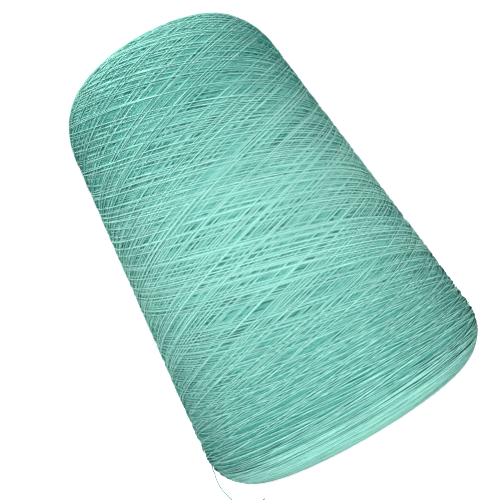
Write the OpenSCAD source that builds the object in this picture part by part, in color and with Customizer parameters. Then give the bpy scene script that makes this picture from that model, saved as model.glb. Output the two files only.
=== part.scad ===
// A cone of cross-wound yarn on a tapered paper tube.
// The tube stands on its wide rim at z = 0, with its axis on +Z and its nose at the top.
// The wound yarn is drawn as a packed core and a thin outer skin, because one
// continuous yarn makes both, and its loose end hangs from the lower shoulder.

/* [Tube] */
// Height of the paper tube
tube_length = 170; // [140:1:240]
// Outside diameter of the tube at its wide rim
tube_base_d = 69; // [60:1:90]
// Half angle of the taper, 5 degrees 57 minutes on this standard tube
taper_angle = 5.95; // [3.5:0.05:7.2]
// Thickness of the paper wall
tube_wall = 2; // [1:0.1:3]
// Bore of the rolled-in nose
nose_bore_d = 22; // [14:0.5:26.5]
// Height of the straight collar that is turned in below the nose
nose_collar_h = 7; // [3:0.5:12]
// Thickness of that collar
nose_collar_wall = 1.6; // [0.8:0.1:2.4]
// Width of the slot in the wide rim that catches the yarn's first end
slot_w = 3; // [1:0.5:6]
// Height of that slot
slot_h = 5; // [2:0.5:10]

/* [Winding] */
// Diameter at which the yarn's slope would meet the base face
winding_base_d = 121.5; // [100:0.5:150]
// Length of bare tube below the yarn
base_margin = 0.8; // [0.5:0.1:10]
// Length of bare tube above the yarn
nose_margin = 3; // [1:0.5:10]
// Reach of the rounded shoulder at the base, across the face
base_shoulder_w = 18.5; // [8:0.5:24]
// Reach of the rounded shoulder at the base, up the side
base_shoulder_h = 17.5; // [8:0.5:30]
// Reach of the dome at the nose, across the face
nose_dome_w = 20.5; // [8:0.5:26]
// Reach of the dome at the nose, down the side
nose_dome_h = 26; // [8:0.5:40]
// Height by which the base face is dished in towards the tube
base_dish = 2; // [0:0.5:4]
// Thickness of the outermost wraps
skin_t = 1.5; // [0.5:0.1:4]

/* [Loose end] */
// Diameter of the yarn
yarn_d = 0.5; // [0.3:0.05:0.6]

/* [Hidden] */
$fn = 120;
eps = 0.01;
// Narrowest level face left between a shoulder and the tube
least_face = 2;
// Flat bands that make up each rounded shoulder
shoulder_steps = 16;

paper_colour = [0.78, 0.70, 0.58];
core_colour = [0.22, 0.52, 0.47];
skin_colour = [0.47, 0.74, 0.69];
end_colour = [0.62, 0.84, 0.79];

c = cos(taper_angle);
s = sin(taper_angle);
t = tan(taper_angle);

tube_r = tube_base_d / 2;
bore_r = nose_bore_d / 2;
slot_turn = 215;

// The rolled nose is a ring that touches the bore, the slope and the top.
nose_ring_r = ((tube_r - bore_r) * c - tube_length * s) / (1 + c - s);
nose_ring_z = tube_length - nose_ring_r;

winding_z0 = base_margin;
winding_z1 = tube_length - nose_margin;

// The loose end: it runs round the lower shoulder, drops to the surface
// that the cone stands on, and lies there in a slack curve.
end_rings = 80;
end_sides = 8;
end_route = [
    [-55.4, 20.2, 15.6], [-57.2, 14.3, 15.2], [-58.4, 8.2, 14.8], [-58.8, 2.0, 14.3],
    [-58.6, -4.1, 13.7], [-58.1, -8.6, 12.2], [-58.3, -10.8, 9.6], [-58.1, -12.0, 7.0],
    [-57.4, -12.8, 4.0], [-56.5, -13.8, 1.4], [-56.1, -16.6, 0.4], [-57.2, -21.6, 0.3],
    [-60.4, -26.2, 0.3], [-63.0, -31.2, 0.3], [-63.2, -36.8, 0.3], [-60.6, -41.8, 0.3],
    [-56.0, -44.9, 0.3], [-50.6, -45.6, 0.3], [-45.6, -43.6, 0.3], [-42.2, -39.4, 0.3]
];

// Outside radius of the tube at height z
function slope_r(z) = tube_r - z * t;

// Radius of the yarn's slope at height z, with the given depth taken off
function winding_slope_r(z, depth) = winding_base_d / 2 - depth / c - (z - winding_z0) * t;

// Side view of a shoulder: a quarter of an ellipse w across and h along, at height z.
// It runs from a level end face (angle -90 or 90) to where it lies along the slope.
function shoulder(w, h, z, depth, face) =
    let (
        meets = atan(t * h / w),
        x = winding_slope_r(z + h * sin(meets), depth) - w * cos(meets)
    )
    [for (i = [0:shoulder_steps])
        let (a = face + (meets - face) * i / shoulder_steps)
        [x + w * cos(a), z + h * sin(a)]];

// Thickness of the wound yarn at height z
function yarn_t(z) = winding_slope_r(z, 0) - slope_r(z);

function reversed(points) = [for (i = [len(points) - 1:-1:0]) points[i]];

// Side view of the tube's wall, nose ring and collar, right of the axis
module tube_profile() {
    ring_x = bore_r + nose_ring_r;
    polygon([
        [tube_r - tube_wall / c, 0],
        [tube_r, 0],
        [ring_x + nose_ring_r * c, nose_ring_z + nose_ring_r * s],
        [slope_r(nose_ring_z) - tube_wall / c, nose_ring_z]
    ]);
    translate([ring_x, nose_ring_z]) circle(r = nose_ring_r);
    translate([bore_r, nose_ring_z - nose_collar_h]) square([nose_collar_wall, nose_collar_h]);
}

// Side view of the wound yarn with the given depth taken off, down to the tube's surface
module winding_profile(depth) {
    z0 = winding_z0 + depth;
    z1 = winding_z1 - depth;
    base_w = min(base_shoulder_w, yarn_t(z0) - least_face) - depth;
    base_h = base_shoulder_h - depth;
    dome_w = min(nose_dome_w, yarn_t(z1) - least_face) - depth;
    dome_h = nose_dome_h - depth;
    lower = shoulder(base_w, base_h, z0 + base_h, depth, -90);
    upper = shoulder(dome_w, dome_h, z1 - dome_h, depth, 90);
    polygon(concat(
        [[slope_r(z0 + base_dish), z0 + base_dish]],
        lower,
        reversed(upper),
        [[slope_r(z1), z1]]
    ));
}

// Point on a smooth curve through a, b, c and d, between b and c at 0 <= u <= 1
function spline(a, b, c, d, u) = 0.5 * (
    2 * b + (c - a) * u + (2 * a - 5 * b + 4 * c - d) * u * u + (3 * b - a - 3 * c + d) * u * u * u
);

// Point at 0 <= q <= 1 along a route of hand-placed points
function along(route, q) =
    let (n = len(route) - 1, k = min(floor(q * n), n - 1), u = q * n - k)
    spline(route[max(k - 1, 0)], route[k], route[k + 1], route[min(k + 2, n)], u);

function unit(v) = v / norm(v);

// Round cord of diameter d swept along a route, with flat ends
module swept_cord(route, d, rings, sides) {
    centres = [for (i = [0:rings - 1]) along(route, i / (rings - 1))];
    points = [
        for (i = [0:rings - 1])
            let (
                ahead = unit(centres[min(i + 1, rings - 1)] - centres[max(i - 1, 0)]),
                side = unit(cross(ahead, [0.2, 0.1, 1])),
                up = cross(side, ahead)
            )
            for (j = [0:sides - 1])
                centres[i] + d / 2 * (cos(360 * j / sides) * side + sin(360 * j / sides) * up)
    ];
    walls = [
        for (i = [0:rings - 2], j = [0:sides - 1])
            let (k = (j + 1) % sides)
            [i * sides + j, (i + 1) * sides + j, (i + 1) * sides + k, i * sides + k]
    ];
    first = [for (j = [0:sides - 1]) j];
    last = [for (j = [sides - 1:-1:0]) (rings - 1) * sides + j];
    polyhedron(points, concat(walls, [first, last]), convexity = 10);
}

module cone_tube() {
    color(paper_colour) difference() {
        rotate_extrude() tube_profile();
        rotate([0, 0, slot_turn])
            translate([tube_r - 3 * tube_wall, -slot_w / 2, -eps])
                cube([6 * tube_wall, slot_w, slot_h + eps]);
    }
}

module inner_winding() {
    color(core_colour) rotate_extrude() winding_profile(skin_t);
}

module outer_winding() {
    color(skin_colour) rotate_extrude() difference() {
        winding_profile(0);
        winding_profile(skin_t);
    }
}

module free_end() {
    color(end_colour) swept_cord(end_route, yarn_d, end_rings, end_sides);
}

cone_tube();
inner_winding();
outer_winding();
free_end();
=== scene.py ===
"""A cone of cross-wound yarn: one long yarn wound to and fro on a tapered paper tube.

Lengths are in metres. A place on the winding is given by its arc, the distance along the side
view's outline from the tube at the base to the tube at the nose, by its turn, the angle round
the axis, and by its depth below the outline.
"""
import math

import bpy
import numpy as np
from mathutils import Matrix, Vector


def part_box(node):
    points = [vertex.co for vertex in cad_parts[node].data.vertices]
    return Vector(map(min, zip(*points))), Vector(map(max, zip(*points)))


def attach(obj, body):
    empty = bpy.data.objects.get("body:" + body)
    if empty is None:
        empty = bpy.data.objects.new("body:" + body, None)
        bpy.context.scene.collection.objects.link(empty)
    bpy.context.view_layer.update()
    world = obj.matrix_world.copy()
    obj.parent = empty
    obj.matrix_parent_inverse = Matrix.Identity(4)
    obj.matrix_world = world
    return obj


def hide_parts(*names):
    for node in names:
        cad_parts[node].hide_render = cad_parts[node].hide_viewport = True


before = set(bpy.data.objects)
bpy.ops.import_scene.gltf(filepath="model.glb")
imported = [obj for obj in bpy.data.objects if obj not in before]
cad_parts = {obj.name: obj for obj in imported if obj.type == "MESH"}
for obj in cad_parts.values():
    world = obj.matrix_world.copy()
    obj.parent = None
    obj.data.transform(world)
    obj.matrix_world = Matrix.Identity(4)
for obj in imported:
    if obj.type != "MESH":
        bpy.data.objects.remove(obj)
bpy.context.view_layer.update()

MM = 0.001
TAU = 2 * math.pi

# The yarn
YARN_D = 0.5 * MM        # diameter where it is loose
WOUND_D = 0.42 * MM      # diameter where it is wound tight
YARN_SIDES = 5           # sides of the yarn's tube
RING_STEP = 5.5 * MM     # distance between the tube's rings
LAY_STEP = 0.5 * MM      # distance between the places at which its height is worked out
PLY_PITCH = 2.2 * MM     # length of yarn in one turn of its twist

# The strokes, the yarn's runs from one end of the cone to the other
STROKES = 734
STROKES_A_PIECE = 105
STROKE_ANGLE = math.radians(16.5)   # to the level, where the winding's radius is MID_RADIUS
MID_RADIUS = 52 * MM
EASE = 34 * MM                      # arc over which a stroke slows before it turns back
BASE_TURN = (24 * MM, 50 * MM)      # arc, from the base end, at which strokes turn back
NOSE_TURN = (46 * MM, 68 * MM)      # arc, from the nose end, at which strokes turn back
TURN_SKEW = 0.5                     # the lower, the fewer strokes turn back near the end
ANGLE_SPREAD = 0.015                # how much the angle of a group of strokes differs
UP_SPREAD = 0.006                   # how much the angle of a stroke up differs in its group
DOWN_SPREAD = 0.012                 # the same for a stroke down
GROUP = (1, 3)                      # fewest pairs side by side, and one more than the most
GOLDEN = 0.381966                   # share of a turn from one group to the next
GROUP_DRIFT = 0.03                  # how much that differs, in radians
PAIR_SHIFT = (1.5, 2.4)             # from one pair of a group to the next, in yarn widths
TURN_SCATTER = 1.0 * MM             # how much a pair's ends differ from its group's
SWAY = 0.22 * MM                    # how far a stroke wanders off its path

# How the yarn lies on itself
CELL = 0.5 * MM          # side of a cell of the cover
COLUMNS = 720            # cells round the cover
LIFT = 0.29 * WOUND_D    # how much deeper a yarn lies than one that crosses over it
HOLD = 1                 # lay steps over which a yarn is held down beside a crossing
JOIN_STEPS = 24          # lay steps over which a stroke leaves the depth of the one after it
DEEPEST = 0.95 * MM      # depth that the lowest yarns tend to
EXIT_RISE = 45 * MM      # yarn over which the last wrap rises to the loose end

# The yarn's tone, 0 for dark and 1 for pale: painted shade that darkens deep yarn and gaps, and a
# random spread
TOP_TONE = 0.86                     # at the surface
DEPTH_SHADE_SLOPE = 0.10                   # painted shade, lost per millimetre of depth
SHADED_GAP_DEPTH = (0.67 * MM, 0.90 * MM)  # depths between which painted shade darkens the gaps
GAP_SHADE = 0.52                     # lost to painted shade in the darkest gaps
STRAND_TONE = 0.10                  # spread from one stretch of yarn to another
STRETCH = 24                        # rings of the yarn's tube in such a stretch

# The fibres that stand off the yarn
FIBRES = 6500
FIBRE_RADIUS = 0.016 * MM
FIBRE_LENGTH = (1.0 * MM, 3.6 * MM)
TALLEST_FIBRE = 1.7 * MM
LOOPS = 0.55                        # share of the fibres that come back down

SEED = 7
ROOM_LIGHT = 0.14                   # strength of the white room as a light
BAKE_MARGIN = 0.08                  # share of a cell of the map OFBake left free on each side

# The camera
CAMERA_DISTANCE = 337.2 * MM        # to the middle of the winding, along its line of sight
CAMERA_TILT = math.radians(4.73)    # upwards
CAMERA_ROLL = math.radians(30.31)
CAMERA_RIGHT = -1.09 * MM           # off that middle, to its own right
CAMERA_UP = -5.52 * MM              # off that middle, up its own frame
CAMERA_LENS = 61.34                 # in millimetres, on a frame 36 mm wide

# The loose end's route, as in the part's own source, in millimetres
END_ROUTE = [
    (-55.4, 20.2, 15.6), (-57.2, 14.3, 15.2), (-58.4, 8.2, 14.8), (-58.8, 2.0, 14.3),
    (-58.6, -4.1, 13.7), (-58.1, -8.6, 12.2), (-58.3, -10.8, 9.6), (-58.1, -12.0, 7.0),
    (-57.4, -12.8, 4.0), (-56.5, -13.8, 1.4), (-56.1, -16.6, 0.4), (-57.2, -21.6, 0.3),
    (-60.4, -26.2, 0.3), (-63.0, -31.2, 0.3), (-63.2, -36.8, 0.3), (-60.6, -41.8, 0.3),
    (-56.0, -44.9, 0.3), (-50.6, -45.6, 0.3), (-45.6, -43.6, 0.3), (-42.2, -39.4, 0.3),
]

rng = np.random.default_rng(SEED)
winding_low, winding_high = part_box("outer_winding")
tube_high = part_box("cone_tube")[1]
MID_HEIGHT = (winding_low.z + winding_high.z) / 2


# ---------------------------------------------------------------- camera

def make_camera():
    """A camera that looks along +Y and a little up, rolled so that the nose leans left."""
    forward = Vector((0, math.cos(CAMERA_TILT), math.sin(CAMERA_TILT)))
    level_up = Vector((0, -math.sin(CAMERA_TILT), math.cos(CAMERA_TILT)))
    side = Vector((1, 0, 0))
    right = math.cos(CAMERA_ROLL) * side - math.sin(CAMERA_ROLL) * level_up
    up = math.sin(CAMERA_ROLL) * side + math.cos(CAMERA_ROLL) * level_up
    centre = Vector((0, 0, MID_HEIGHT))
    place = centre + CAMERA_RIGHT * right + CAMERA_UP * up - CAMERA_DISTANCE * forward
    data = bpy.data.cameras.new("camera")
    data.lens = CAMERA_LENS
    data.sensor_width = 36
    data.clip_start = 0.01
    data.clip_end = 50
    camera = bpy.data.objects.new("camera", data)
    turn = Matrix((right, up, -forward)).transposed().to_4x4()
    camera.matrix_world = Matrix.Translation(place) @ turn
    bpy.context.scene.collection.objects.link(camera)
    bpy.context.scene.camera = camera


# ---------------------------------------------------------------- tubes

def tube_frames(paths):
    """Unit vectors across each path: one as near outwards from the winding's middle as it can
    be, and one square to that and to the path."""
    ahead = np.gradient(paths, axis=1)
    ahead /= np.linalg.norm(ahead, axis=2, keepdims=True)
    outwards = paths - np.array([0, 0, MID_HEIGHT])
    side = np.cross(ahead, outwards)
    side /= np.linalg.norm(side, axis=2, keepdims=True)
    return np.cross(side, ahead), side


def tube_mesh(name, paths, sides, radius, tones_with_shade):
    """One mesh of closed tubes, a tube for each row of paths, an array of rows x points x 3.
    Ring k is the circle radius (cos(a) out + sin(a) side) about point k, and each end is one
    face. The map "yarn" holds the run along the tube in metres and the share of the way round
    it, and OFBake lays every stretch between two rings in a cell of its own."""
    rows, count = paths.shape[:2]
    out, side = tube_frames(paths)
    spin = TAU * np.arange(sides) / sides
    rings = paths[:, :, None] + radius * (
        np.cos(spin)[:, None] * out[:, :, None] + np.sin(spin)[:, None] * side[:, :, None]
    )
    row, ring, j = np.meshgrid(np.arange(rows), np.arange(count - 1), np.arange(sides),
                               indexing="ij")
    first = (row * count + ring) * sides
    k = (j + 1) % sides
    quads = np.stack([first + j, first + k, first + sides + k, first + sides + j], -1)
    quads = quads.reshape(-1, 4)
    starts = np.arange(rows)[:, None] * count * sides
    caps_low = starts + np.arange(sides)[::-1]
    caps_high = starts + (count - 1) * sides + np.arange(sides)
    corners = np.concatenate([quads.ravel(), caps_low.ravel(), caps_high.ravel()])
    loop_starts = np.concatenate([
        np.arange(len(quads)) * 4, len(quads) * 4 + np.arange(2 * rows) * sides
    ])
    mesh = bpy.data.meshes.new(name)
    mesh.vertices.add(rows * count * sides)
    mesh.vertices.foreach_set("co", rings.reshape(-1).astype(np.float32))
    mesh.loops.add(len(corners))
    mesh.loops.foreach_set("vertex_index", corners.astype(np.int32))
    mesh.polygons.add(len(loop_starts))
    mesh.polygons.foreach_set("loop_start", loop_starts.astype(np.int32))
    mesh.update(calc_edges=True)
    mesh.polygons.foreach_set("use_smooth", np.ones(len(loop_starts), bool))

    steps = np.linalg.norm(np.diff(paths, axis=1), axis=2)
    run = np.concatenate([np.zeros((rows, 1)), np.cumsum(steps, axis=1)], axis=1)
    near, far = run[row, ring], run[row, ring + 1]
    along = np.stack([near, near, far, far], -1)
    around = 1 - np.stack([j, j + 1, j + 1, j], -1) / sides
    cap_run = np.concatenate([np.repeat(run[:, 0], sides), np.repeat(run[:, -1], sides)])
    set_map(mesh, "yarn", np.concatenate([along.ravel(), cap_run]),
            np.concatenate([around.ravel(), np.zeros(2 * rows * sides)]))

    cells = rows * (count - 1)
    long_side = steps.mean() / (TAU * radius)
    across = max(int(round(math.sqrt(cells / long_side))), 1)
    down = math.ceil(cells / across) + 1
    cell = row * (count - 1) + ring
    u = (cell % across)[..., None] + np.array([0, 0, 1, 1])
    v = (cell // across)[..., None] + BAKE_MARGIN + (1 - 2 * BAKE_MARGIN) * around
    cap = (np.arange(2 * rows)[:, None] + 0.5) / (2 * rows) * across
    cap_u = cap + 0.3 * min(across / (2 * rows), 1) * np.cos(spin)
    cap_v = down - 0.5 + 0.3 * np.sin(spin) + 0 * cap
    set_map(mesh, "OFBake", np.concatenate([u.ravel(), cap_u.ravel()]) / across,
            np.concatenate([v.ravel(), cap_v.ravel()]) / down)

    # The tone, with painted shade where the yarn lies deep, goes to every point of a ring.
    tone_and_shade = mesh.attributes.new("tone_and_shade", "FLOAT", "POINT")
    tone_and_shade.data.foreach_set("value", np.repeat(tones_with_shade.ravel(), sides).astype(np.float32))
    return mesh


def set_map(mesh, name, u, v):
    """Adds a UV map from the u and v of every corner."""
    layer = mesh.uv_layers.new(name=name)
    layer.uv.foreach_set("vector", np.stack([u, v], -1).astype(np.float32).ravel())


def add_piece(name, mesh, material, slot, *stands_for):
    """Links a finished mesh as a piece that rides on the root body."""
    mesh.materials.append(material)
    piece = bpy.data.objects.new(name, mesh)
    bpy.context.scene.collection.objects.link(piece)
    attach(piece, "root")
    if stands_for:
        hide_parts(*stands_for)
    return piece


# ---------------------------------------------------------------- loose end

def spline(points, count):
    """Smooth curve through points: between b and c it is the cubic whose slopes there are
    half of (c - a) and half of (d - b), sampled at count even steps of its parameter."""
    points = np.asarray(points, float)
    last = len(points) - 1
    q = np.linspace(0, last, count)
    k = np.minimum(q.astype(int), last - 1)
    u = (q - k)[:, None]
    a = points[np.maximum(k - 1, 0)]
    b = points[k]
    c = points[k + 1]
    d = points[np.minimum(k + 2, last)]
    bend = (2 * a - 5 * b + 4 * c - d) * u**2 + (3 * b - a - 3 * c + d) * u**3
    return 0.5 * (2 * b + (c - a) * u + bend)


def make_free_end(material):
    """The loose end of the yarn, a tube along its route."""
    path = spline(END_ROUTE, 190) * MM
    mesh = tube_mesh("free_end_yarn", path[None], 10, YARN_D / 2, np.ones((1, len(path))))
    piece = add_piece("free_end_yarn", mesh, material, "yarn_end", "free_end")


# ---------------------------------------------------------------- the outline

def rings_of(node):
    """The (radius, height) of every ring of a turned CAD node."""
    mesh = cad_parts[node].data
    places = np.empty(len(mesh.vertices) * 3, np.float32)
    mesh.vertices.foreach_get("co", places)
    places = places.reshape(-1, 3)
    side_view = np.c_[np.hypot(places[:, 0], places[:, 1]), places[:, 2]]
    return np.unique(np.round(side_view, 5), axis=0)


def side_outline():
    """Side view of the winding's outside, from the tube at the base round to the tube at the
    nose: the rings of the outer winding that aren't rings of the inner one, in order of their
    angle about the middle of the yarn's thickness."""
    outside, inside = rings_of("outer_winding"), rings_of("inner_winding")
    apart = np.linalg.norm(outside[:, None] - inside[None], axis=2).min(1)
    outside = outside[apart > 0.3 * MM]
    middle = np.array([(tube_high.x + outside[:, 0].max()) / 2, MID_HEIGHT])
    angle = np.arctan2(outside[:, 1] - middle[1], outside[:, 0] - middle[0])
    return outside[np.argsort(angle)]


def running_mean(values, reach):
    """Mean over reach samples each way, with the ends carried on."""
    padded = np.pad(values, reach, mode="reflect", reflect_type="odd")
    return np.convolve(padded, np.ones(2 * reach + 1) / (2 * reach + 1), "valid")


class Outline:
    """The side view's outline as smooth functions of the arc along it."""

    def __init__(self, corners, step=0.5 * MM):
        run = np.r_[0, np.cumsum(np.linalg.norm(np.diff(corners, axis=0), axis=1))]
        self.length = float(run[-1])
        self.arc = np.arange(0, self.length, step)
        self.radius = running_mean(np.interp(self.arc, run, corners[:, 0]), 4)
        self.height = running_mean(np.interp(self.arc, run, corners[:, 1]), 4)
        along_r, along_z = np.gradient(self.radius), np.gradient(self.height)
        size = np.hypot(along_r, along_z)
        self.normal_r = along_z / size
        self.normal_z = -along_r / size

    def at(self, arc, values):
        return np.interp(arc, self.arc, values)

    def place(self, arc, turn, depth):
        """Point at an arc and a turn, moved in along the outline's normal by depth."""
        out = self.at(arc, self.radius) - depth * self.at(arc, self.normal_r)
        up = self.at(arc, self.height) - depth * self.at(arc, self.normal_z)
        return np.stack([out * np.cos(turn), out * np.sin(turn), up], -1)

    def nearest(self, point):
        """Arc, turn and depth of a point."""
        out, up = math.hypot(point[0], point[1]) - self.radius, point[2] - self.height
        k = int(np.argmin(np.hypot(out, up)))
        depth = -(out[k] * self.normal_r[k] + up[k] * self.normal_z[k])
        return self.arc[k], math.atan2(point[1], point[0]), depth


outline = Outline(side_outline())


# ---------------------------------------------------------------- the yarn's path

def evenly(arc, turn, step):
    """The path sampled again at even distances of about step along the yarn."""
    radius = outline.at(arc, outline.radius)
    middle = (radius[1:] + radius[:-1]) / 2
    run = np.r_[0, np.cumsum(np.hypot(np.diff(arc), middle * np.diff(turn)))]
    count = max(int(round(run[-1] / step)), 4)
    at = np.linspace(0, run[-1], count + 1)
    return np.interp(at, run, arc), np.interp(at, run, turn)


def stroke(start, end, turn, angle, samples=600):
    """One run of the yarn between two arcs. Its arc goes with half a cosine of a parameter,
    and its turn is the sum of d(arc) / slope, where the slope falls as the square root of the
    distance to either end inside EASE, as a traverse does that brakes and turns back."""
    q = (np.arange(samples) + 0.5) / samples
    share = (1 - np.cos(np.pi * q)) / 2
    span = abs(end - start)
    brake = np.sqrt(np.clip(share * span / EASE, 0, 1) * np.clip((1 - share) * span / EASE, 0, 1))
    slope = MID_RADIUS * math.tan(angle) * brake
    rate = span * np.pi / 2 * np.sin(np.pi * q) / slope / samples
    return start + (end - start) * share, turn + np.cumsum(rate)


def sway(count, size):
    """A slow random wander across the path, nothing at both ends."""
    knots = size * np.cumsum(rng.normal(0, 1, 14))
    knots -= np.linspace(knots[0], knots[-1], len(knots))
    bend = np.interp(np.linspace(0, 13, count), np.arange(14), knots)
    return running_mean(bend, 20) * np.sin(np.linspace(0, np.pi, count)) ** 0.5


def wound_strokes():
    """The whole run of strokes, end to end, as (arc, turn) paths. Pairs of strokes, one up and
    one down, go in groups that lie side by side, and each group starts a golden share of a
    turn on from the one before it."""
    paths = []
    turn = group_turn = 0.0
    arc = rng.uniform(*BASE_TURN)
    left = place_in_group = 0
    for _ in range(STROKES // 2):
        if not left:
            group_turn += TAU * GOLDEN + rng.normal(0, GROUP_DRIFT)
            left, place_in_group = int(rng.integers(*GROUP)), 0
            shift = rng.uniform(*PAIR_SHIFT) * WOUND_D / math.sin(STROKE_ANGLE) / MID_RADIUS
            shift *= rng.choice((-1, 1))
            base_arc = BASE_TURN[0] + (BASE_TURN[1] - BASE_TURN[0]) * rng.random() ** TURN_SKEW
            nose_arc = NOSE_TURN[0] + (NOSE_TURN[1] - NOSE_TURN[0]) * rng.random() ** TURN_SKEW
            angle = STROKE_ANGLE * rng.normal(1, ANGLE_SPREAD)
        nose = outline.length - nose_arc - rng.normal(0, TURN_SCATTER)
        base = base_arc + rng.normal(0, TURN_SCATTER)
        up = stroke(arc, nose, turn, angle * rng.normal(1, UP_SPREAD))
        down = stroke(nose, base, up[1][-1], angle * rng.normal(1, DOWN_SPREAD))
        # The pair's turns are stretched a little, so that the next pair starts at its own aim.
        total = down[1][-1] - turn
        aim = group_turn + place_in_group * shift
        wanted = total + (aim - turn - total + np.pi) % TAU - np.pi
        for arcs, turns in (up, down):
            arcs = arcs + sway(len(arcs), SWAY)
            paths.append((arcs, turn + (turns - turn) * wanted / total))
        turn += wanted
        arc = base
        left -= 1
        place_in_group += 1
    return paths


def ring_wraps(first, last, pitch, sweep):
    """A slow spiral of near-level turns from one arc to another: the arc climbs by pitch a
    turn, while slow sines carry it to and fro by up to sweep."""
    turns = abs(last - first) / pitch
    turn = np.linspace(0, TAU * turns, int(turns * 140))
    phase = rng.uniform(0, TAU, 3)
    swing = (
        0.55 * np.sin(turn * 0.713 + phase[0])
        + 0.30 * np.sin(turn * 0.371 + phase[1])
        + 0.15 * np.sin(turn * 1.93 + phase[2])
    )
    arc = np.linspace(first, last, len(turn)) + sweep * swing
    low, high = sorted((first, last))
    return np.clip(arc, low, high), turn + rng.uniform(0, TAU)


def last_wrap(arc, turn):
    """From the last stroke's end to the loose end's exit, in one to two turns. The arc goes
    over with a smooth step, level at both ends. Returns the path and the exit's depth."""
    exit_arc, exit_turn, exit_depth = outline.nearest([x * MM for x in END_ROUTE[0]])
    over = (exit_turn - turn) % TAU + TAU
    q = np.linspace(0, 1, 900)
    return arc + (exit_arc - arc) * q * q * (3 - 2 * q), turn + over * q, exit_depth


# ---------------------------------------------------------------- laying the yarn

class Cover:
    """How deep the yarn goes that is already in place, on a grid of arc by turn. The yarn is
    put in place from the last wrap laid to the first, each tucked under those before it."""

    def __init__(self):
        self.rows = int(outline.length / CELL) + 2
        self.depth = np.zeros((self.rows, COLUMNS), np.float32)

    def tuck(self, arc, turn, start=None):
        """Depths of a yarn tucked under the cover, to its top. It passes under everything over
        its width, its tension keeps it low between two crossings, as a running maximum and
        then a running mean, and it starts at the depth where the yarn after it ends."""
        row = np.clip((arc / CELL).astype(int), 1, self.rows - 2)
        column = (turn / TAU * COLUMNS).astype(int) % COLUMNS
        over = np.maximum.reduce([self.depth[row + k, column] for k in (-1, 0, 1)])
        padded = np.pad(over, HOLD, mode="edge")
        low = np.max([padded[k:k + len(over)] for k in range(2 * HOLD + 1)], axis=0)
        low = running_mean(low, 2 * HOLD)
        if start is not None:
            fade = np.clip(np.arange(len(low)) / JOIN_STEPS, 0, 1)
            low = low * fade + start * (1 - fade)
        # The yarn is thickest on its own line of cells, and less thick on the next ones.
        for k, share in ((-1, 0.4), (0, 1.0), (1, 0.4)):
            np.maximum.at(self.depth, (row + k, column), low + LIFT * share)
        return low


def lay_yarn():
    """Lays out the end rings and then the strokes, and tucks them in from the last to the
    first. Returns {piece: (arc, turn, depth of its top)} and the depth at the loose end."""
    edge = 0.6 * WOUND_D
    top = outline.length
    runs = []
    # Arcs are from the base end, and top is the arc at the nose end.
    for name, first, last, pitch, sweep in (
        ("base_rings_1", edge, 51 * MM, 0.50 * MM, 0.8 * MM),
        ("base_rings_2", 52 * MM, edge, 0.50 * MM, 2.6 * MM),
        ("base_rings_3", 6 * MM, 52 * MM, 0.52 * MM, 3.8 * MM),
        ("nose_rings_1", top - edge, top - 69 * MM, 0.50 * MM, 0.8 * MM),
        ("nose_rings_2", top - 70 * MM, top - edge, 0.47 * MM, 2.4 * MM),
        ("nose_rings_3", top - 5 * MM, top - 70 * MM, 0.45 * MM, 3.2 * MM),
    ):
        runs.append((name, *evenly(*ring_wraps(first, last, pitch, sweep), LAY_STEP)))
    paths = wound_strokes()
    for n, path in enumerate(paths):
        runs.append((f"outer_wraps_{n // STROKES_A_PIECE + 1}", *evenly(*path, LAY_STEP)))
    arc, turn, exit_depth = last_wrap(paths[-1][0][-1], paths[-1][1][-1])
    runs.append((runs[-1][0], *evenly(arc, turn, LAY_STEP)))

    cover = Cover()
    laid = {}
    after = None
    for name, arc, turn in reversed(runs):
        depth = cover.tuck(arc[::-1], turn[::-1], after)[::-1]
        after = depth[0] if name.startswith("outer") else None
        laid.setdefault(name, []).insert(0, (arc, turn, depth))
    joined = {name: [np.concatenate(part) for part in zip(*parts)]
              for name, parts in laid.items()}
    return joined, runs[-1][0], exit_depth


def wind_yarn(material):
    """Makes a tube of every piece of the yarn. Far below the outline its depth closes up on
    DEEPEST, as packed yarn does, and the last piece rises to the loose end."""
    laid, last_piece, exit_depth = lay_yarn()
    every = int(round(RING_STEP / LAY_STEP))
    room = DEEPEST - WOUND_D / 2
    for name, (arc, turn, top) in laid.items():
        depth = WOUND_D / 2 + room * np.tanh(top / room)
        if name == last_piece:
            q = np.clip(np.arange(len(depth))[::-1] * LAY_STEP / EXIT_RISE, 0, 1)
            q = q * q * (3 - 2 * q)
            depth = depth * q + exit_depth * (1 - q)
        keep = np.arange(0, len(arc), every)
        keep[-1] = len(arc) - 1
        arc, turn, depth = arc[keep], turn[keep], depth[keep]
        path = outline.place(arc, turn, depth)
        knots = np.arange(0, len(path) + STRETCH, STRETCH)
        strand = np.interp(np.arange(len(path)), knots, rng.normal(0, 1, len(knots)))
        # Painted shade: the tone falls with depth and most in the deepest gaps; the strand term
        # is a random spread.
        gap_shade = np.clip((depth - SHADED_GAP_DEPTH[0]) / (SHADED_GAP_DEPTH[1] - SHADED_GAP_DEPTH[0]), 0, 1)
        tones_with_shade = TOP_TONE + STRAND_TONE * strand - GAP_SHADE * gap_shade
        tones_with_shade -= DEPTH_SHADE_SLOPE * (depth - WOUND_D / 2) / MM
        mesh = tube_mesh(name, path[None], YARN_SIDES, WOUND_D / 2, np.clip(tones_with_shade, 0, 1)[None])
        add_piece(name, mesh, material, "yarn_wraps", "outer_winding")


# ---------------------------------------------------------------- fuzz

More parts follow.
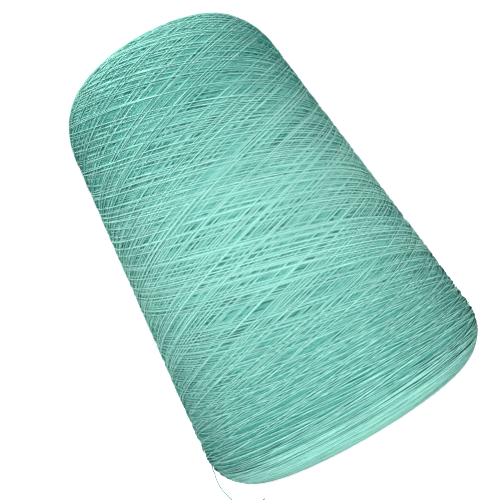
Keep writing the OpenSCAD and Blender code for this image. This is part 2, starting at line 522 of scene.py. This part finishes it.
def make_fuzz(material):
    """Fine fibres that stand off the yarn. Each is a thin tube on the curve
    base + t length along + h(t) outwards + t^2 bend, where h is a low arch for a loop
    and a rising line for a free fibre."""
    weight = outline.radius / outline.radius.sum()
    arc = outline.arc[rng.choice(len(outline.arc), FIBRES, p=weight)]
    turn = rng.uniform(0, TAU, FIBRES)
    base = outline.place(arc, turn, YARN_D * 0.4)
    out = np.stack([outline.at(arc, outline.normal_r) * np.cos(turn),
                    outline.at(arc, outline.normal_r) * np.sin(turn),
                    outline.at(arc, outline.normal_z)], -1)
    level = np.stack([-np.sin(turn), np.cos(turn), np.zeros(FIBRES)], -1)
    rise = np.cross(out, level)
    way = rng.uniform(0, TAU, FIBRES)[:, None]
    along = np.cos(way) * level + np.sin(way) * rise
    across = np.cross(out, along)
    length = rng.uniform(*FIBRE_LENGTH, FIBRES)
    # Most fibres stand about half a millimetre off the yarn, and a few much more.
    stand = (rng.gamma(2.2, 0.24, FIBRES) * MM).clip(0.1 * MM, TALLEST_FIBRE)
    bend = rng.normal(0, 0.7, FIBRES) * MM
    loop = rng.random(FIBRES) < LOOPS
    t = np.linspace(0, 1, 5)
    h = np.where(loop[:, None], 4 * t * (1 - t), t ** 0.8) * stand[:, None]
    paths = (
        base[:, None]
        + (t * length[:, None])[..., None] * along[:, None]
        + h[..., None] * out[:, None]
        + (t * t * bend[:, None])[..., None] * across[:, None]
    )
    mesh = tube_mesh("yarn_fuzz", paths, 3, FIBRE_RADIUS, np.ones(paths.shape[:2]))
    add_piece("yarn_fuzz", mesh, material, "yarn_wraps", "outer_winding")


# ---------------------------------------------------------------- materials

class Nodes:
    """Short ways to add and join the nodes of one tree."""

    def __init__(self, tree):
        self.tree = tree

    def add(self, kind, **settings):
        node = self.tree.nodes.new("ShaderNode" + kind)
        for key, value in settings.items():
            setattr(node, key, value)
        return node

    def feed(self, node, **values):
        """Sets or joins a node's inputs; an underscore in a name stands for a space."""
        for key, value in values.items():
            socket = node.inputs[key.replace("_", " ")]
            if isinstance(value, bpy.types.NodeSocket):
                self.tree.links.new(value, socket)
            else:
                socket.default_value = value
        return node

    def maths(self, operation, a, b=0.0, c=0.0):
        node = self.add("Math", operation=operation)
        for socket, value in zip(node.inputs, (a, b, c)):
            if isinstance(value, bpy.types.NodeSocket):
                self.tree.links.new(value, socket)
            else:
                socket.default_value = value
        return node.outputs[0]

    def shader(self):
        return self.tree.nodes["Principled BSDF"]

    def place(self):
        return self.add("TexCoord").outputs["Object"]

    def noise(self, scale, detail=2.0, roughness=0.5, vector=None):
        node = self.feed(self.add("TexNoise"), Scale=scale, Detail=detail, Roughness=roughness,
                         Vector=vector or self.place())
        return node.outputs["Fac"]


def new_material(name):
    material = bpy.data.materials.new(name)
    material.use_nodes = True
    return material, Nodes(material.node_tree)


def new_group(name, inputs, outputs):
    """A shader node group with the named inputs (with their first values) and outputs."""
    tree = bpy.data.node_groups.new(name, "ShaderNodeTree")
    for label, kind, value in inputs:
        tree.interface.new_socket(label, in_out="INPUT", socket_type=kind).default_value = value
    for label, kind in outputs:
        tree.interface.new_socket(label, in_out="OUTPUT", socket_type=kind)
    nodes = Nodes(tree)
    return tree, nodes, tree.nodes.new("NodeGroupInput"), tree.nodes.new("NodeGroupOutput")


def dye_group():
    """How a dye takes: a colour made lighter and darker in soft patches and in fine specks."""
    tree, nodes, given, result = new_group(
        "dye_patches",
        [("Color", "NodeSocketColor", (1, 1, 1, 1)), ("Patches", "NodeSocketFloat", 0.1),
         ("Specks", "NodeSocketFloat", 0.1)],
        [("Color", "NodeSocketColor")],
    )
    patches = nodes.maths("SUBTRACT", nodes.noise(45.0, 2.0), 0.5)
    specks = nodes.maths("SUBTRACT", nodes.noise(2600.0, 1.0), 0.5)
    change = nodes.maths("MULTIPLY_ADD", patches, given.outputs["Patches"], 1.0)
    change = nodes.maths("MULTIPLY_ADD", specks, given.outputs["Specks"], change)
    hue = nodes.feed(nodes.add("HueSaturation"), Value=change, Color=given.outputs["Color"])
    nodes.feed(result, Color=hue.outputs["Color"])
    return tree


def twist_and_shade_group():
    """The yarn's plies, on the map along it: stripes that run round it once a pitch. The lit
    crown is 1 where the yarn faces outwards and falls to 0 on its flanks, a mask for painted
    shade."""
    tree, nodes, given, result = new_group(
        "twist_and_shade",
        [("Pitch", "NodeSocketFloat", PLY_PITCH)],
        [("Ridge", "NodeSocketFloat"), ("Crown", "NodeSocketFloat")],
    )
    place = nodes.add("UVMap", uv_map="yarn").outputs[0]
    split = nodes.feed(nodes.add("SeparateXYZ"), Vector=place)
    along = nodes.maths("DIVIDE", split.outputs["X"], given.outputs["Pitch"])
    phase = nodes.maths("MULTIPLY", nodes.maths("ADD", along, split.outputs["Y"]), TAU)
    ridge = nodes.maths("MULTIPLY_ADD", nodes.maths("SINE", phase), 0.5, 0.5)
    outwards = nodes.maths("COSINE", nodes.maths("MULTIPLY", split.outputs["Y"], TAU))
    lit_crown = nodes.feed(nodes.add("MapRange", interpolation_type="SMOOTHSTEP"), Value=outwards,
                       From_Min=0.15, From_Max=0.95)
    nodes.feed(result, Ridge=ridge, Crown=lit_crown.outputs["Result"])
    return tree


def yarn_material(groups):
    """Dyed, softly spun yarn with plies as low ridges, and painted shade where it lies low and on
    its flanks.
    """
    material, nodes = new_material("sea_green_yarn")
    # The ramp runs from dark green, painted shade for deep yarn, to the dye's pale green at the
    # surface.
    tone_and_shade = nodes.add("Attribute", attribute_name="tone_and_shade").outputs["Fac"]
    ramp = nodes.feed(nodes.add("ValToRGB"), Fac=tone_and_shade)
    ramp.color_ramp.elements[0].color = (0.044, 0.236, 0.195, 1)
    ramp.color_ramp.elements[1].color = (0.230, 0.458, 0.394, 1)
    twist_and_shade = nodes.add("Group", node_tree=groups["twist_and_shade"])
    # Painted shade: the yarn's flanks are darkened towards a deep green, as if less light falls
    # there.
    flank_shade = nodes.add("Mix", data_type="RGBA")
    nodes.tree.links.new(twist_and_shade.outputs["Crown"], flank_shade.inputs[0])
    flank_shade.inputs[6].default_value = (0.009, 0.122, 0.100, 1)
    nodes.tree.links.new(ramp.outputs["Color"], flank_shade.inputs[7])
    dye = nodes.feed(nodes.add("Group", node_tree=groups["dye"]), Color=flank_shade.outputs[2],
                     Patches=0.12, Specks=0.45)
    rough = nodes.maths("MULTIPLY_ADD", twist_and_shade.outputs["Ridge"], -0.12, 0.82)
    bump = nodes.feed(nodes.add("Bump"), Strength=0.5, Distance=0.05 * MM,
                      Height=twist_and_shade.outputs["Ridge"])
    nodes.feed(nodes.shader(), Base_Color=dye.outputs["Color"], Roughness=rough,
               Normal=bump.outputs["Normal"], Specular_IOR_Level=0.1)
    return material


def fuzz_material(groups):
    """Single fibres, paler than the yarn."""
    material, nodes = new_material("yarn_fibre")
    dye = nodes.feed(nodes.add("Group", node_tree=groups["dye"]), Color=(0.24, 0.56, 0.48, 1),
                     Patches=0.15, Specks=0.3)
    rough = nodes.maths("MULTIPLY_ADD", nodes.noise(900.0), 0.2, 0.6)
    nodes.feed(nodes.shader(), Base_Color=dye.outputs["Color"], Roughness=rough,
               Specular_IOR_Level=0.2)
    return material


def shaded_core_material(groups):
    """Packed yarn below the outer wraps, coloured as painted shade: two families of lines that
    climb both ways round the axis, as ridges sin(n turn +- n height / climb), n whole so that
    they close up."""
    material, nodes = new_material("packed_yarn_in_painted_shade")
    climb = MID_RADIUS * math.tan(STROKE_ANGLE)
    lines = round(TAU * climb * math.cos(STROKE_ANGLE) / YARN_D)
    split = nodes.feed(nodes.add("SeparateXYZ"), Vector=nodes.place())
    turn = nodes.maths("ARCTAN2", split.outputs["Y"], split.outputs["X"])
    height = nodes.maths("DIVIDE", split.outputs["Z"], climb)
    rising = nodes.maths("MULTIPLY", nodes.maths("ADD", turn, height), lines)
    falling = nodes.maths("MULTIPLY", nodes.maths("SUBTRACT", turn, height), lines)
    higher = nodes.maths("MAXIMUM", nodes.maths("SINE", rising), nodes.maths("SINE", falling))
    ridge = nodes.maths("MULTIPLY_ADD", higher, 0.5, 0.5)
    # Painted shade: far darker than the yarn's dye, for the shade in the gaps between the outer
    # wraps, and darker still between the lines.
    ramp = nodes.feed(nodes.add("ValToRGB"), Fac=ridge)
    ramp.color_ramp.elements[0].color = (0.015, 0.085, 0.070, 1)
    ramp.color_ramp.elements[1].color = (0.045, 0.190, 0.155, 1)
    dye = nodes.feed(nodes.add("Group", node_tree=groups["dye"]), Color=ramp.outputs["Color"],
                     Patches=0.2, Specks=0.2)
    rough = nodes.maths("MULTIPLY_ADD", ridge, -0.1, 0.92)
    bump = nodes.feed(nodes.add("Bump"), Strength=0.8, Distance=0.2 * MM, Height=ridge)
    nodes.feed(nodes.shader(), Base_Color=dye.outputs["Color"], Roughness=rough,
               Normal=bump.outputs["Normal"], Specular_IOR_Level=0.2)
    return material


def paper_material(groups):
    """Brown tube paper: long fibres round the tube, soft blotches and a rubbed, paler rim."""
    material, nodes = new_material("tube_paper")
    stretch = nodes.feed(nodes.add("Mapping"), Vector=nodes.place(), Scale=(1, 1, 6))
    fibres = nodes.noise(420.0, 6.0, 0.7, stretch.outputs["Vector"])
    split = nodes.feed(nodes.add("SeparateXYZ"), Vector=nodes.place())
    from_top = nodes.maths("SUBTRACT", tube_high.z, split.outputs["Z"])
    rim = nodes.maths("MINIMUM", from_top, split.outputs["Z"])
    worn = nodes.add("MapRange")
    nodes.feed(worn, Value=rim, From_Min=0.0, From_Max=1.6 * MM, To_Min=1.0, To_Max=0.0)
    ramp = nodes.feed(nodes.add("ValToRGB"), Fac=fibres)
    ramp.color_ramp.elements[0].color = (0.30, 0.20, 0.11, 1)
    ramp.color_ramp.elements[1].color = (0.62, 0.48, 0.32, 1)
    ramp.color_ramp.elements[0].position = 0.3
    ramp.color_ramp.elements[1].position = 0.7
    mix = nodes.add("Mix", data_type="RGBA")
    share = nodes.maths("MULTIPLY", worn.outputs["Result"], nodes.noise(700.0))
    nodes.tree.links.new(share, mix.inputs[0])
    nodes.tree.links.new(ramp.outputs["Color"], mix.inputs[6])
    mix.inputs[7].default_value = (0.72, 0.62, 0.48, 1)
    dye = nodes.feed(nodes.add("Group", node_tree=groups["dye"]), Color=mix.outputs[2],
                     Patches=0.25, Specks=0.15)
    rough = nodes.maths("MULTIPLY_ADD", fibres, 0.2, 0.72)
    bump = nodes.feed(nodes.add("Bump"), Strength=0.4, Distance=0.08 * MM, Height=fibres)
    nodes.feed(nodes.shader(), Base_Color=dye.outputs["Color"], Roughness=rough,
               Normal=bump.outputs["Normal"])
    return material


def dress(node, material):
    """Gives a CAD node one material."""
    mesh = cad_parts[node].data
    mesh.materials.clear()
    mesh.materials.append(material)


# ---------------------------------------------------------------- studio

def area_light(name, place, size, power):
    """A square light of a size and a power in watts, aimed at the middle of the cone."""
    data = bpy.data.lights.new(name, "AREA")
    data.size = size
    data.energy = power
    lamp = bpy.data.objects.new(name, data)
    lamp.location = place
    aim = Vector((0, 0, MID_HEIGHT)) - Vector(place)
    lamp.rotation_euler = aim.to_track_quat("-Z", "Y").to_euler()
    bpy.context.scene.collection.objects.link(lamp)


def make_studio():
    """A pale floor, a white room and three soft lights."""
    half = 6.0
    mesh = bpy.data.meshes.new("floor")
    mesh.from_pydata([(-half, -half, 0), (half, -half, 0), (half, half, 0), (-half, half, 0)], [],
                     [(0, 1, 2, 3)])
    material, nodes = new_material("pale_floor")
    glow = nodes.maths("MULTIPLY", nodes.add("LightPath").outputs["Is Camera Ray"], 0.88)
    nodes.feed(nodes.shader(), Base_Color=(0.8, 0.8, 0.82, 1), Roughness=0.9,
               Emission_Color=(1, 1, 1, 1), Emission_Strength=glow)
    mesh.materials.append(material)
    floor = bpy.data.objects.new("floor", mesh)
    bpy.context.scene.collection.objects.link(floor)
    world = bpy.data.worlds.new("white_room")
    world.use_nodes = True
    nodes = Nodes(world.node_tree)
    seen = nodes.add("LightPath").outputs["Is Camera Ray"]
    strength = nodes.maths("MULTIPLY_ADD", seen, 1.05 - ROOM_LIGHT, ROOM_LIGHT)
    nodes.feed(world.node_tree.nodes["Background"], Color=(1, 1, 1, 1), Strength=strength)
    bpy.context.scene.world = world
    bpy.context.scene.view_settings.view_transform = "Standard"
    area_light("key_light", (0.02, -1.1, 0.06), 0.3, 24.4)
    area_light("top_light", (-0.2, -0.25, 1.3), 0.9, 36)
    area_light("back_light", (0.1, 1.2, 0.3), 0.5, 3)


make_camera()
groups = {"dye": dye_group(), "twist_and_shade": twist_and_shade_group()}
yarn = yarn_material(groups)
make_free_end(yarn)
wind_yarn(yarn)
make_fuzz(fuzz_material(groups))
dress("inner_winding", shaded_core_material(groups))
dress("cone_tube", paper_material(groups))
make_studio()
